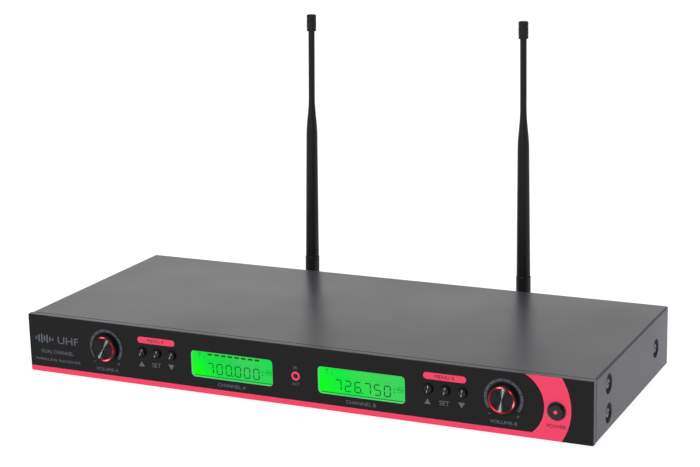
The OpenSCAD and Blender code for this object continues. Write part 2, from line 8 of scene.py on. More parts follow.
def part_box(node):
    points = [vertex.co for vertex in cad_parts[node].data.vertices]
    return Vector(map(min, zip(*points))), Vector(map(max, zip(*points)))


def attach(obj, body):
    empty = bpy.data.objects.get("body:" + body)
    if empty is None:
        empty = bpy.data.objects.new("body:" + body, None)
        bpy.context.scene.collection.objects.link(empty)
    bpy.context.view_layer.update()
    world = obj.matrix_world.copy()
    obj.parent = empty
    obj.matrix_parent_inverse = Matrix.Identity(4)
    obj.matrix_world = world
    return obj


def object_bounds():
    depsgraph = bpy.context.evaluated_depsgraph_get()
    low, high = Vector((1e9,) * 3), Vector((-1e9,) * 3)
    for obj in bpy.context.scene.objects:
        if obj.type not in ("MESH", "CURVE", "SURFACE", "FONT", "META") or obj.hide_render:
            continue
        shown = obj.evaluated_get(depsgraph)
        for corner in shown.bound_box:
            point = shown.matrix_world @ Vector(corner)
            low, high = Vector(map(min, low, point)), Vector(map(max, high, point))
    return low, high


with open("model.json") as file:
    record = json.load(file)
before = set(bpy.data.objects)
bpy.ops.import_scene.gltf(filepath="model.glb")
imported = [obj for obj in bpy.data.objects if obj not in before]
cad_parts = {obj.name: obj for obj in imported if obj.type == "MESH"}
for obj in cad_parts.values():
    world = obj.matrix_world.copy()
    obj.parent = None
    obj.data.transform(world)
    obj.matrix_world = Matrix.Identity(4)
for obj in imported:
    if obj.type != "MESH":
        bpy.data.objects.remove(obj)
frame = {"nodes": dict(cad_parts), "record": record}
cad_lo, cad_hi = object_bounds()

MM = 0.001
SLOT_OF = {s["node"]: s["material_slot"] for s in frame["record"]["subparts"]}
BODY_OF = {n: b for b, nodes in frame["record"]["behaviour"]["bodies"].items() for n in nodes}


def srgb(r, g, b):
    """A colour given as 0..255 screen values, as the linear colour that a shader takes."""
    def lin(v):
        v /= 255
        return v / 12.92 if v <= 0.04045 else ((v + 0.055) / 1.055) ** 2.4
    return (lin(r), lin(g), lin(b), 1.0)


# ---------------------------------------------------------------- places on the object

def centre(node):
    lo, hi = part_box(node)
    return (Vector(lo) + Vector(hi)) / 2


face_lo, face_hi = (Vector(v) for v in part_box("fascia_overlay"))
FACE_Y = face_lo.y                      # the front face of the overlay
BASE_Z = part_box("front_panel")[0][2]    # underside of the casing
REAR_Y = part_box("chassis_tray")[1][1]   # outer face of the rear wall
knobs = {k: centre(f"knob_{k}_body") for k in "ab"}
menus = {k: [centre(f"menu_{k}_{b}") for b in ("up", "set", "down")] for k in "ab"}
power = centre("power_cap")
ir = centre("ir_led")
LCD_W, LCD_H, LCD_R = 65.6 * MM, 19.6 * MM, 3.0 * MM   # window in the overlay
lcds = {k: centre(f"lcd_{k}_glass") for k in "ab"}
LCD_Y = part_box("lcd_a_glass")[0][1]     # front face of the display glass


# ---------------------------------------------------------------- materials

def new_material(name):
    m = bpy.data.materials.new(name)
    m.use_nodes = True
    return m, m.node_tree, m.node_tree.nodes["Principled BSDF"]


def coords(nt, stretch=(1, 1, 1), shift=(0, 0, 0)):
    tc = nt.nodes.new("ShaderNodeTexCoord")
    mp = nt.nodes.new("ShaderNodeMapping")
    mp.inputs["Location"].default_value = shift
    mp.inputs["Scale"].default_value = stretch
    nt.links.new(tc.outputs["Object"], mp.inputs["Vector"])
    return mp.outputs["Vector"]


def noise(nt, vector, scale, detail=3.0, rough=0.6):
    n = nt.nodes.new("ShaderNodeTexNoise")
    n.inputs["Scale"].default_value = scale
    n.inputs["Detail"].default_value = detail
    n.inputs["Roughness"].default_value = rough
    nt.links.new(vector, n.inputs["Vector"])
    return n.outputs["Fac"]


def ramp(nt, fac, stops):
    r = nt.nodes.new("ShaderNodeValToRGB")
    while len(r.color_ramp.elements) > 1:
        r.color_ramp.elements.remove(r.color_ramp.elements[-1])
    for i, (at, colour) in enumerate(stops):
        e = r.color_ramp.elements[0] if i == 0 else r.color_ramp.elements.new(at)
        e.position = at
        e.color = colour
    nt.links.new(fac, r.inputs["Fac"])
    return r.outputs["Color"]


def spread(nt, fac, lo, hi, from_lo=0.3, from_hi=0.7):
    n = nt.nodes.new("ShaderNodeMapRange")
    n.inputs["From Min"].default_value = from_lo
    n.inputs["From Max"].default_value = from_hi
    n.inputs["To Min"].default_value = lo
    n.inputs["To Max"].default_value = hi
    nt.links.new(fac, n.inputs["Value"])
    return n.outputs["Result"]


def math_node(nt, op, a, b=None):
    n = nt.nodes.new("ShaderNodeMath")
    n.operation = op
    for i, v in enumerate((a, b)):
        if v is None:
            continue
        if isinstance(v, (int, float)):
            n.inputs[i].default_value = v
        else:
            nt.links.new(v, n.inputs[i])
    return n.outputs[0]


def scaled(colour, k):
    return tuple(min(1.0, c * k) for c in colour[:3]) + (1.0,)


def surface(name, colour, vary=0.12, rough=(0.38, 0.5), metallic=0.0, grain=900.0, blotch=14.0,
            bump=0.15, depth=0.02 * MM, stretch=(1, 1, 1), specular=0.5, **sockets):
    """A solid material: colour and gloss varied by a fine grain and a broad mottle, and a grain bump."""
    m, nt, bsdf = new_material(name)
    v = coords(nt, stretch)
    fine = noise(nt, v, grain)
    broad = noise(nt, v, blotch, detail=2.0)
    both = math_node(nt, "MULTIPLY", math_node(nt, "ADD", fine, broad), 0.5)
    nt.links.new(ramp(nt, both, [(0.32, scaled(colour, 1 - vary)), (0.68, scaled(colour, 1 + vary))]),
                 bsdf.inputs["Base Color"])
    nt.links.new(spread(nt, both, *rough), bsdf.inputs["Roughness"])
    bsdf.inputs["Metallic"].default_value = metallic
    bsdf.inputs["Specular IOR Level"].default_value = specular
    for k, val in sockets.items():
        bsdf.inputs[k.replace("_", " ")].default_value = val
    b = nt.nodes.new("ShaderNodeBump")
    b.inputs["Strength"].default_value = bump
    b.inputs["Distance"].default_value = depth
    nt.links.new(fine, b.inputs["Height"])
    nt.links.new(b.outputs["Normal"], bsdf.inputs["Normal"])
    return m


def spun(name, colour, rough=0.4, at=(0, 0, 0), rings=2600.0, face=None):
    """Turned metal: fine rings about an axis along Y through at, and a gleam stretched across them.
    With face given, only the disc of that radius is metal and the rim around it is black plastic."""
    m, nt, bsdf = new_material(name)
    v = coords(nt, shift=[-c for c in at])
    sep = nt.nodes.new("ShaderNodeSeparateXYZ")
    nt.links.new(v, sep.inputs[0])
    r2 = math_node(nt, "ADD", math_node(nt, "POWER", sep.outputs["X"], 2.0),
                   math_node(nt, "POWER", sep.outputs["Z"], 2.0))
    radius = math_node(nt, "SQRT", r2)
    ring = nt.nodes.new("ShaderNodeTexNoise")
    ring.noise_dimensions = "1D"
    ring.inputs["Scale"].default_value = rings
    ring.inputs["Detail"].default_value = 2.0
    nt.links.new(radius, ring.inputs["W"])
    nt.links.new(spread(nt, ring.outputs["Fac"], rough * 0.95, rough * 1.05), bsdf.inputs["Roughness"])
    tint, rim = ring.outputs["Fac"], []
    if face is None:
        bsdf.inputs["Metallic"].default_value = 1.0
        bsdf.inputs["Anisotropic"].default_value = 1.0
    else:
        metal = math_node(nt, "LESS_THAN", radius, face)
        nt.links.new(metal, bsdf.inputs["Metallic"])
        nt.links.new(metal, bsdf.inputs["Anisotropic"])
        bsdf.inputs["Specular IOR Level"].default_value = 0.03
        tint, rim = math_node(nt, "MULTIPLY", tint, metal), [(0.0, srgb(12, 12, 13))]
    nt.links.new(ramp(nt, tint, rim + [(0.3, scaled(colour, 0.9)), (0.7, scaled(colour, 1.1))]),
                 bsdf.inputs["Base Color"])
    bsdf.inputs["Anisotropic Rotation"].default_value = 0.25
    t = nt.nodes.new("ShaderNodeTangent")
    t.direction_type = "RADIAL"
    t.axis = "Y"
    nt.links.new(t.outputs[0], bsdf.inputs["Tangent"])
    return m


def ring_glow_painted_highlight(name, at, spots):
    """Translucent red ring lit from behind, with painted highlights where it is brightest. Its spots
    are pairs: the angle in degrees, clockwise from the top, and how bright the ring is there, its glow and
    the painted highlights together."""
    m, nt, bsdf = new_material(name)
    v = coords(nt, shift=[-c for c in at])
    sep = nt.nodes.new("ShaderNodeSeparateXYZ")
    nt.links.new(v, sep.inputs[0])
    angle = math_node(nt, "ARCTAN2", sep.outputs["X"], sep.outputs["Z"])
    whole = math_node(nt, "ADD", math_node(nt, "DIVIDE", angle, 2 * math.pi), 1.0)
    turn = math_node(nt, "FRACT", whole)
    stops = []
    for a, glow in spots:
        red = glow ** 3
        # above 0.8 the ring turns whitish: a painted highlight over its red glow
        white = max(0.0, glow - 0.8)
        stops.append((a / 360, (min(1.0, red), 0.45 * white, 0.02 * red + 0.5 * white, 1.0)))
    glow = ramp(nt, turn, stops)
    nt.links.new(glow, bsdf.inputs["Emission Color"])
    bsdf.inputs["Emission Strength"].default_value = 2.6
    bsdf.inputs["Specular IOR Level"].default_value = 0.1
    fine = noise(nt, v, 1500.0)
    nt.links.new(ramp(nt, fine, [(0.3, srgb(18, 1, 3)), (0.7, srgb(34, 2, 5))]), bsdf.inputs["Base Color"])
    nt.links.new(spread(nt, fine, 0.2, 0.3), bsdf.inputs["Roughness"])
    return m


def backlit(name, x_lo, x_hi, z_lo, z_hi, stops, glow=1.0):
    """A backlit display: its green changes along X and a little with height, with a faint cell grain."""
    m, nt, bsdf = new_material(name)
    v = coords(nt)
    sep = nt.nodes.new("ShaderNodeSeparateXYZ")
    nt.links.new(v, sep.inputs[0])
    along = spread(nt, sep.outputs["X"], 0.0, 1.0, x_lo, x_hi)
    soft = noise(nt, v, 60.0, detail=2.0)
    drift = math_node(nt, "MULTIPLY", math_node(nt, "SUBTRACT", soft, 0.5), 0.10)
    along = math_node(nt, "ADD", along, drift)
    height = spread(nt, sep.outputs["Z"], -0.13, 0.1, z_lo, z_hi)
    along = math_node(nt, "ADD", along, height)
    colour = ramp(nt, along, stops)
    nt.links.new(colour, bsdf.inputs["Emission Color"])
    bsdf.inputs["Emission Strength"].default_value = glow
    bsdf.inputs["Specular IOR Level"].default_value = 0.08
    nt.links.new(ramp(nt, soft, [(0.3, srgb(0, 20, 2)), (0.7, srgb(0, 32, 4))]), bsdf.inputs["Base Color"])
    nt.links.new(spread(nt, noise(nt, v, 700.0), 0.22, 0.3), bsdf.inputs["Roughness"])
    return m


def glowing(name, colour, glow, dark, specular=0.5):
    """A small lamp: brighter in a fine mottle, glossy over it."""
    m, nt, bsdf = new_material(name)
    bsdf.inputs["Specular IOR Level"].default_value = specular
    v = coords(nt)
    n = noise(nt, v, 900.0)
    nt.links.new(ramp(nt, n, [(0.3, scaled(colour, 0.85)), (0.7, colour)]), bsdf.inputs["Emission Color"])
    bsdf.inputs["Emission Strength"].default_value = glow
    nt.links.new(ramp(nt, n, [(0.3, scaled(dark, 0.8)), (0.7, dark)]), bsdf.inputs["Base Color"])
    nt.links.new(spread(nt, n, 0.15, 0.25), bsdf.inputs["Roughness"])
    return m


paint = surface("casing_paint", srgb(58, 58, 61), vary=0.1, rough=(0.24, 0.38), grain=1400.0, blotch=9.0,
                bump=0.2, depth=0.01 * MM, specular=0.16)
black_film = surface("overlay_film", srgb(19, 19, 20), vary=0.08, rough=(0.36, 0.42), grain=2200.0,
                     bump=0.12, depth=0.008 * MM, specular=0.14)
rose_print = surface("rose_print", srgb(233, 61, 97), vary=0.03, rough=(0.4, 0.48), grain=2200.0,
                     bump=0.1, depth=0.006 * MM, specular=0.2)
dial_print = surface("dial_print", srgb(68, 74, 82), vary=0.08, rough=(0.42, 0.5), grain=1800.0,
                     bump=0.1, depth=0.006 * MM, specular=0.3)
legend_print = surface("legend_print", srgb(86, 92, 102), vary=0.08, rough=(0.42, 0.5), grain=1800.0,
                       bump=0.1, depth=0.006 * MM, specular=0.3)
dark_print = surface("dark_print", srgb(22, 22, 26), vary=0.1, rough=(0.45, 0.55), grain=1800.0,
                     bump=0.1, depth=0.006 * MM, specular=0.3)
pill_print = surface("pill_print", srgb(44, 10, 20), vary=0.06, rough=(0.42, 0.5), grain=1800.0,
                     bump=0.1, depth=0.006 * MM, specular=0.3)
white_print = surface("rear_print", srgb(196, 198, 202), vary=0.05, rough=(0.45, 0.55), grain=1800.0,
                      bump=0.1, depth=0.006 * MM, specular=0.3)
knob_black = surface("knob_black", srgb(12, 12, 13), vary=0.12, rough=(0.34, 0.44), grain=1600.0,
                     bump=0.15, depth=0.01 * MM, specular=0.25)
rubber = surface("whip_rubber", srgb(18, 18, 19), vary=0.12, rough=(0.42, 0.52), grain=1100.0,
                 bump=0.2, depth=0.015 * MM, specular=0.25)
moulded = surface("moulded_black", srgb(20, 20, 21), vary=0.12, rough=(0.4, 0.52), grain=1100.0,
                  bump=0.25, depth=0.015 * MM)
nickel = surface("nickel", srgb(176, 174, 168), vary=0.06, rough=(0.2, 0.32), metallic=1.0, grain=1500.0,
                 bump=0.1, depth=0.006 * MM)
glossy_black = surface("glossy_black", srgb(6, 6, 7), vary=0.12, rough=(0.18, 0.26), grain=1200.0,
                       bump=0.05, depth=0.006 * MM, specular=0.3)

plain = {
    "casing_steel": paint,
    "screws": surface("dark_nickel", srgb(112, 110, 108), vary=0.12, rough=(0.3, 0.42), metallic=1.0,
                      grain=1500.0, bump=0.1, depth=0.006 * MM),
    "overlay": black_film,
    "accent": rose_print,
    "dial": dial_print,
    "knob": knob_black,
    "bright_metal": nickel,
    "pot": surface("pot_blue", srgb(52, 74, 120), rough=(0.4, 0.5)),
    "light_guide": surface("light_guide", srgb(226, 226, 218), vary=0.04, rough=(0.4, 0.5)),
    "tinned": surface("tinned_sheet", srgb(186, 186, 180), vary=0.07, rough=(0.28, 0.42), metallic=1.0,
                      stretch=(1, 12, 1), grain=500.0),
    "sleeve_metal": surface("sleeve_nickel", srgb(164, 164, 164), vary=0.08, rough=(0.25, 0.36), metallic=1.0,
                            grain=1500.0),
    "elbow": moulded,
    "whip_rubber": rubber,
    "switch_black": moulded,
    "board": surface("solder_resist", srgb(22, 92, 52), vary=0.1, rough=(0.25, 0.34), grain=600.0,
                     blotch=90.0),
    "brass_posts": surface("brass", srgb(196, 160, 92), vary=0.06, rough=(0.22, 0.32), metallic=1.0),
    "ir_lens": glossy_black,
    "bezel": surface("bezel_black", srgb(8, 8, 8), vary=0.1, rough=(0.26, 0.34), grain=1400.0,
                     bump=0.1, depth=0.008 * MM),
    "power_button": surface("power_black", srgb(18, 20, 24), vary=0.08, rough=(0.3, 0.4), grain=1500.0,
                            bump=0.15, depth=0.01 * MM, specular=0.3),
    "red_led": glowing("red_lamp", srgb(255, 44, 64), 1.0, srgb(120, 10, 16)),
    "switch_white": surface("switch_cream", srgb(214, 212, 202), vary=0.04, rough=(0.4, 0.5)),
    "sink": surface("sink_aluminium", srgb(150, 152, 156), vary=0.08, rough=(0.35, 0.45), metallic=1.0,
                    stretch=(1, 1, 14), grain=700.0),
    "chip_black": surface("chip_black", srgb(34, 34, 34), vary=0.1, rough=(0.5, 0.62)),
    "cap_sleeve": surface("cap_sleeve", srgb(32, 40, 86), vary=0.08, rough=(0.25, 0.35)),
    "ribbon": surface("ribbon_grey", srgb(178, 178, 174), vary=0.08, rough=(0.42, 0.5), stretch=(9, 1, 1),
                      grain=300.0),
    "coax": rubber,
    "connector_black": moulded,
    "feet_rubber": rubber,
}


def paint_node(node, m):
    obj = frame["nodes"][node]
    if not obj.material_slots:
        obj.data.materials.append(m)
    for s in obj.material_slots:
        s.material = m


for node in frame["nodes"]:
    if SLOT_OF[node] in plain:
        paint_node(node, plain[SLOT_OF[node]])

# how bright each knob's lit ring is round its turn: its own glow from behind, with painted highlights at the
# brightest spots
RING_A_GLOW_HIGHLIGHT = [(0, 1.0), (10, 0.85), (18, 0.4), (30, 0.25), (44, 0.45), (56, 0.62), (70, 0.5), (84, 0.48),
          (96, 0.68), (106, 0.55), (120, 0.36), (136, 0.6), (150, 0.95), (164, 1.15), (176, 0.95),
          (188, 0.5), (200, 0.18), (260, 0.1), (325, 0.12), (340, 0.35), (350, 0.85), (359.9, 1.0)]
RING_B_GLOW_HIGHLIGHT = [(0, 0.98), (10, 0.62), (20, 0.36), (34, 0.42), (46, 0.85), (56, 0.55), (70, 0.36), (84, 0.5),
          (96, 0.9), (104, 1.2), (112, 1.0), (122, 0.6), (136, 0.38), (158, 0.42), (178, 0.6),
          (196, 0.75), (215, 0.84), (230, 0.8), (245, 0.62), (268, 0.55), (290, 0.48), (315, 0.32),
          (334, 0.5), (344, 0.95), (353, 1.15), (359.9, 0.98)]
BUTTON_FACE_R = 2.5 * MM    # turned metal face of a menu button
for k, spots in (("a", RING_A_GLOW_HIGHLIGHT), ("b", RING_B_GLOW_HIGHLIGHT)):
    paint_node(f"knob_{k}_ring", ring_glow_painted_highlight(f"ring_glow_painted_highlight_{k}", knobs[k], spots))
    paint_node(f"knob_{k}_cap", spun(f"spun_cap_{k}", srgb(44, 45, 47), rough=0.38, at=knobs[k]))
    for b, at in zip(("up", "set", "down"), menus[k]):
        face = spun(f"button_{k}_{b}", srgb(54, 54, 55), rough=0.4, at=at, face=BUTTON_FACE_R)
        paint_node(f"menu_{k}_{b}", face)

# the display's green from its left end to its right end: bright where its lamp is
GREENS = {"a": [(0.0, srgb(0, 255, 0)), (0.08, srgb(2, 244, 30)), (0.2, srgb(4, 228, 60)),
                (0.5, srgb(26, 213, 74)), (0.65, srgb(50, 209, 86)), (0.85, srgb(36, 213, 82)),
                (1.0, srgb(12, 220, 76))],
          "b": [(0.0, srgb(0, 250, 14)), (0.1, srgb(0, 243, 44)), (0.3, srgb(2, 233, 62)),
                (0.42, srgb(32, 224, 73)), (0.55, srgb(54, 217, 80)), (0.8, srgb(60, 210, 88)),
                (1.0, srgb(48, 212, 88))]}
for k in "ab":
    c = lcds[k]
    paint_node(f"lcd_{k}_glass", backlit(f"lcd_{k}_backlit", c.x - LCD_W / 2, c.x + LCD_W / 2,
                                         c.z - LCD_H / 2, c.z + LCD_H / 2, GREENS[k]))
lcd_ink = glowing("lcd_ink", srgb(6, 100, 44), 1.0, srgb(0, 20, 4), specular=0.08)
lcd_bars = glowing("lcd_bars", srgb(44, 74, 34), 1.0, srgb(0, 20, 4), specular=0.08)
# the display's faint marks; the same green is also a lighter painted shade along the window's top edge
lcd_ghost_and_shade = glowing("lcd_ghost_and_shade", srgb(30, 190, 66), 1.0, srgb(0, 20, 4), specular=0.08)
# a darker green along the window's bottom edge: painted shade
lcd_painted_shade = glowing("lcd_painted_shade", srgb(4, 146, 50), 1.0, srgb(0, 20, 4), specular=0.08)
rim_clear = glowing("window_rim", srgb(96, 222, 128), 0.75, srgb(70, 120, 80), specular=0.3)


# ---------------------------------------------------------------- small meshes

def add_mesh(name, verts, faces, m, body="casing", smooth=False):
    me = bpy.data.meshes.new(name)
    me.from_pydata([tuple(v) for v in verts], [], faces)
    me.validate()
    me.update()
    for p in me.polygons:
        p.use_smooth = smooth
    obj = bpy.data.objects.new(name, me)
    bpy.context.scene.collection.objects.link(obj)
    me.materials.append(m)
    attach(obj, body)
    return obj


PRINT_T = 0.03 * MM    # how far printing stands proud of its surface
FRONT = (1, -1)        # (sense of X seen from outside, direction out of the surface along Y)
REAR = (-1, 1)


def prism(points_list, y, side, thick=PRINT_T):
    """Flat outlines in X and Z made into solid prints standing thick proud of the plane at y."""
    verts, faces = [], []
    for pts in points_list:
        n, i = len(pts), len(verts)
        verts += [(x, y, z) for x, z in pts] + [(x, y + side[1] * thick, z) for x, z in pts]
        front = list(range(i + n, i + 2 * n))
        back = list(range(i, i + n))
        area = sum(pts[j - 1][0] * pts[j][1] - pts[j][0] * pts[j - 1][1] for j in range(n))
        flip = (area > 0) == (side[1] > 0)
        faces.append(front[::-1] if flip else front)
        faces.append(back if flip else back[::-1])
        for j in range(n):
            q = (i + j, i + (j + 1) % n, i + n + (j + 1) % n, i + n + j)
            faces.append(q if flip else q[::-1])
    return verts, faces


def text_mesh(name, words, at, height, m, side=FRONT, width=None, body="casing"):
    """Words in the built-in typeface, cap height in metres, centred on at = (x, y, z)."""
    cu = bpy.data.curves.new(name, "FONT")
    cu.body = words
    cu.size = 1.0
    cu.extrude = 0.01
    cu.resolution_u = 4
    tmp = bpy.data.objects.new(name + "_curve", cu)
    bpy.context.scene.collection.objects.link(tmp)
    bpy.context.view_layer.update()
    me = bpy.data.meshes.new_from_object(tmp.evaluated_get(bpy.context.evaluated_depsgraph_get()))
    bpy.data.objects.remove(tmp)
    bpy.data.curves.remove(cu)
    me.name = name
    co = [v.co.copy() for v in me.vertices]
    lo = Vector([min(c[i] for c in co) for i in range(3)])
    hi = Vector([max(c[i] for c in co) for i in range(3)])
    tall = hi.y - lo.y
    k = height / tall
    kx = k if width is None else width / (hi.x - lo.x)
    mid = (lo + hi) / 2
    for v in me.vertices:
        x = (v.co.x - mid.x) * kx * side[0]
        z = (v.co.y - mid.y) * k
        out = PRINT_T if v.co.z > mid.z else 0.0
        v.co = Vector((at[0] + x, at[1] + side[1] * out, at[2] + z))
    me.update()
    me.materials.clear()
    me.materials.append(m)
    obj = bpy.data.objects.new(name, me)
    bpy.context.scene.collection.objects.link(obj)
    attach(obj, body)
    return obj


def disc_points(x, z, r, n=20):
    return [(x + r * math.cos(2 * math.pi * i / n), z + r * math.sin(2 * math.pi * i / n)) for i in range(n)]


def bar(x, z, w, h):
    return [(x - w / 2, z - h / 2), (x + w / 2, z - h / 2), (x + w / 2, z + h / 2), (x - w / 2, z + h / 2)]


def stadium(x, z, w, h, n=8):
    """A bar with round ends, its long side along Z."""
    r = w / 2
    reach = h / 2 - r
    half_turn = [(r * math.cos(math.pi * i / n), r * math.sin(math.pi * i / n)) for i in range(n + 1)]
    top = [(x + dx, z + reach + dz) for dx, dz in half_turn]
    low = [(x - dx, z - reach - dz) for dx, dz in half_turn]
    return top + low


def prints(name, outlines, y, m, side=FRONT, thick=PRINT_T):
    verts, faces = prism(outlines, y, side, thick)
    return add_mesh(name, verts, faces, m)


# ---------------------------------------------------------------- front legends

def z_of(mm):
    return BASE_Z + mm * MM


DIAL_DOT_R, DIAL_DOTS = 0.6 * MM, 11
BAND_R = 12.8 * MM      # middle radius of the printed scale
DIAL_END = 121.0        # degrees from the top to the last dot
SIGN_X, SIGN_Z = 10.2 * MM, 11.6 * MM    # the less and more signs, beside and below the knob's axis
SIGN_T = 0.42 * MM
ARROW_HALF, ARROW_TALL = 2.35 * MM, 2.0 * MM
BUTTON_WORD_X = -0.6 * MM
BUTTON_WORD_Z = z_of(16.2)


def front_words(name, words, x, z_mm, height_mm, width_mm, m=legend_print):
    text_mesh(name, words, (x, FACE_Y, z_of(z_mm)), height_mm * MM, m, width=width_mm * MM)


def dial_marks(k):
    """The dots on a knob's printed scale, and the less and more signs at its ends."""
    c = knobs[k]
    dots = []
    for i in range(DIAL_DOTS):
        a = math.radians(-DIAL_END + 2 * DIAL_END * i / (DIAL_DOTS - 1))
        dots.append(disc_points(c.x + BAND_R * math.sin(a), c.z + BAND_R * math.cos(a), DIAL_DOT_R, 12))
    prints(f"dial_dots_{k}", dots, FACE_Y, dark_print)
    low = c.z - SIGN_Z
    plus = c.x + SIGN_X
    prints(f"dial_less_{k}", [bar(c.x - SIGN_X, low, 1.5 * MM, SIGN_T)], FACE_Y, legend_print)
    prints(f"dial_more_{k}", [bar(plus, low, 1.7 * MM, SIGN_T)], FACE_Y, legend_print)
    prints(f"dial_more_up_{k}", [bar(plus, low, SIGN_T, 1.7 * MM)], FACE_Y - PRINT_T * 0.5, legend_print)


def menu_marks(k):
    """Arrows and the word under a group of menu buttons, and the name above them."""
    up, mid, down = (c.x + BUTTON_WORD_X for c in menus[k])
    foot, tip = BUTTON_WORD_Z - ARROW_TALL, BUTTON_WORD_Z + ARROW_TALL
    prints(f"arrow_up_{k}", [[(up - ARROW_HALF, foot), (up + ARROW_HALF, foot), (up, tip)]], FACE_Y,
           legend_print)
    prints(f"arrow_down_{k}", [[(down - ARROW_HALF, tip), (down, foot), (down + ARROW_HALF, tip)]],
           FACE_Y, legend_print)
    front_words(f"set_{k}", "SET", mid, 16.2, 3.3, 7.2)
    front_words(f"menu_word_{k}", f"MENU {k.upper()}", mid + 0.2 * MM, 34.4, 2.4, 14.0, pill_print)


for k in "ab":
    dial_marks(k)
    front_words(f"volume_{k}", f"VOLUME-{k.upper()}", knobs[k].x, 8.2, 2.4, 19.2)
    menu_marks(k)
    front_words(f"channel_{k}", f"CHANNEL {k.upper()}", lcds[k].x - 0.2 * MM, 8.0, 2.6, 22.6)
front_words("ir_word", "IR", ir.x, 28.0, 2.1, 2.9)
front_words("act_word", "ACT", ir.x, 16.1, 2.2, 6.2)
front_words("power_word", "POWER", power.x, 10.3, 2.6, 13.2, pill_print)

# a generic mark at the left end: plain level bars and the band's name, with a plain description below
left = face_lo.x
LEVELS = [3.0, 5.6, 7.4, 4.6, 6.6, 3.6, 2.2]    # heights of the bars in millimetres
MARK_Z = 26.0
prints("level_bars", [stadium(left + (6.0 + 2.4 * i) * MM, z_of(MARK_Z), 1.25 * MM, h * MM)
                      for i, h in enumerate(LEVELS)], FACE_Y, legend_print)
front_words("band_word", "UHF", left + 34.0 * MM, MARK_Z, 5.6, 18.0)
front_words("two_channel_word", "DUAL CHANNEL", left + 24.0 * MM, 16.4, 2.9, 28.0)
front_words("receiver_word", "WIRELESS RECEIVER", left + 24.0 * MM, 10.0, 1.9, 40.0)

# ---------------------------------------------------------------- displays

SEGMENTS = {"0": "abcdef", "1": "bc", "2": "abdeg", "3": "abcdg", "4": "bcfg", "5": "acdfg", "6": "acdefg",
            "7": "abc", "8": "abcdefg", "9": "abcdfg"}


def digit(char, x, z, w, h, t):
    """Seven-segment digit, lower left corner at (x, z), of bars t wide."""
    g = t * 0.22
    half = (h - t) / 2

    def across(zc):
        x1, x2 = x + t / 2 + g, x + w - t / 2 - g
        return [(x1, zc), (x1 + t / 2, zc + t / 2), (x2 - t / 2, zc + t / 2), (x2, zc),
                (x2 - t / 2, zc - t / 2), (x1 + t / 2, zc - t / 2)]

    def up(xc, z0):
        z1, z2 = z0 + g, z0 + half - g
        return [(xc, z1), (xc + t / 2, z1 + t / 2), (xc + t / 2, z2 - t / 2), (xc, z2),
                (xc - t / 2, z2 - t / 2), (xc - t / 2, z1 + t / 2)]

    low, mid, top = z + t / 2, z + h / 2, z + h - t / 2
    left_x, right_x = x + t / 2, x + w - t / 2
    shapes = {"a": across(top), "g": across(mid), "d": across(low), "e": up(left_x, low),
              "f": up(left_x, mid), "c": up(right_x, low), "b": up(right_x, mid)}
    return [shapes[s] for s in SEGMENTS[char]]


DIGIT_W, DIGIT_H, DIGIT_T, PITCH = 5.1 * MM, 8.3 * MM, 0.82 * MM, 7.4 * MM
FIRST_DIGIT = -20.5 * MM    # left edge of the first digit from the window's middle
DIGIT_FOOT = z_of(14.6)
UNIT_X = 49.4 * MM          # the unit's middle from the first digit
READINGS = {"a": "700000", "b": "726750"}


def display_ink(x0, reading):
    """The dark marks: six digits, the point after the third, and the two dots before the unit."""
    ink = []
    for i, ch in enumerate(reading):
        ink += digit(ch, x0 + i * PITCH, DIGIT_FOOT, DIGIT_W, DIGIT_H, DIGIT_T)
    ink.append(bar(x0 + 3 * PITCH - 1.45 * MM, z_of(15.0), 0.9 * MM, 0.9 * MM))
    for z in (18.8, 21.0):
        ink.append(bar(x0 + 44.6 * MM, z_of(z), 0.8 * MM, 0.8 * MM))
    return ink


def display_ghosts(x0):
    """The faint marks: a pair over each digit, lines round the unit, and the aerial sign."""
    ghost = []
    for i in range(6):
        ghost.append(bar(x0 + (i + 0.3) * PITCH, z_of(24.4), 0.9 * MM, 0.5 * MM))
        ghost.append(bar(x0 + (i + 0.62) * PITCH, z_of(24.4), 1.5 * MM, 0.35 * MM))
    for z in (19.2, 22.6):
        ghost.append(bar(x0 + UNIT_X, z_of(z), 5.2 * MM, 0.5 * MM))
    ax = x0 - 6.0 * MM
    ghost.append([(ax - 1.6 * MM, z_of(29.6)), (ax + 1.6 * MM, z_of(29.6)), (ax, z_of(27.6))])
    ghost.append(bar(ax, z_of(26.9), 0.5 * MM, 2.2 * MM))
    ghost.append(bar(ax + 4.0 * MM, z_of(27.2), 0.5 * MM, 3.0 * MM))
    return ghost


def on_display(name, outlines, m, thick):
    prints(name, outlines, LCD_Y, m, thick=thick)


for k, reading in READINGS.items():
    mid = lcds[k].x
    x0 = mid + FIRST_DIGIT
    if k == "a":
        cells = [bar(x0 + (2.4 + 5.43 * i) * MM, z_of(29.1), 3.7 * MM, 1.3 * MM) for i in range(8)]
        on_display("level_cells", cells, lcd_bars, 0.05 * MM)
    on_display(f"lcd_digits_{k}", display_ink(x0, reading), lcd_ink, 0.05 * MM)
    on_display(f"lcd_marks_{k}", display_ghosts(x0), lcd_ghost_and_shade, 0.04 * MM)
    text_mesh(f"lcd_unit_{k}", "MHz", (x0 + UNIT_X, LCD_Y, z_of(20.9)), 1.7 * MM, lcd_ink,
              width=5.0 * MM)
    # painted shade inside the window: a darker green strip along its bottom and a lighter one along its top
    on_display(f"lcd_low_edge_shade_{k}", [bar(mid, z_of(12.7), LCD_W - 3.4 * MM, 0.7 * MM)], lcd_painted_shade,
               0.04 * MM)
    on_display(f"lcd_top_edge_shade_{k}", [bar(mid, z_of(30.7), LCD_W - 5.0 * MM, 0.5 * MM)], lcd_ghost_and_shade,
               0.03 * MM)


def round_rect(w, h, r, n=8):
    pts = []
    for cx, cz, a0 in ((1, 1, 0), (-1, 1, 90), (-1, -1, 180), (1, -1, 270)):
        for i in range(n + 1):
            a = math.radians(a0 + 90 * i / n)
            pts.append((cx * (w / 2 - r) + r * math.cos(a), cz * (h / 2 - r) + r * math.sin(a)))
    return pts


